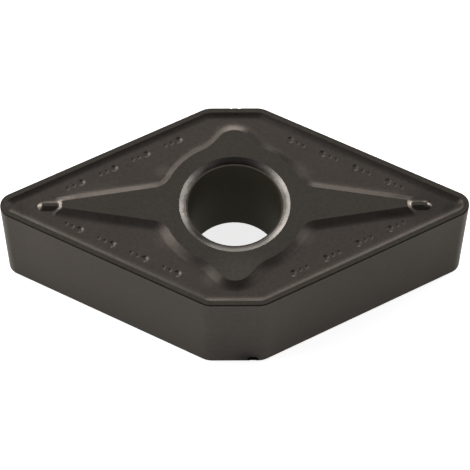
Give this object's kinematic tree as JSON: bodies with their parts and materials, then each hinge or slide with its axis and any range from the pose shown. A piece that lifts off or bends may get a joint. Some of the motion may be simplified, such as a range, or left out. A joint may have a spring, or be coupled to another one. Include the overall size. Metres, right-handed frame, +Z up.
{
  "type": "carbide insert",
  "caption": "Double-sided rhombic turning insert with sharp cutting noses, pressed chipbreaker floors, raised seats, cut-off blunt corners and a central clamp hole.",
  "frame": {"origin": "middle of the lower seat, on the axis of the hole", "axes": "+Z up along the axis of the hole, +X towards one cutting nose, +Y towards one cut-off blunt corner"},
  "size_m": [0.0256, 0.0126, 0.0064],
  "materials": {
    "carbide": "satin"
  },
  "bodies": {
    "root": {"insert": "carbide"}
  },
  "joints": []
}
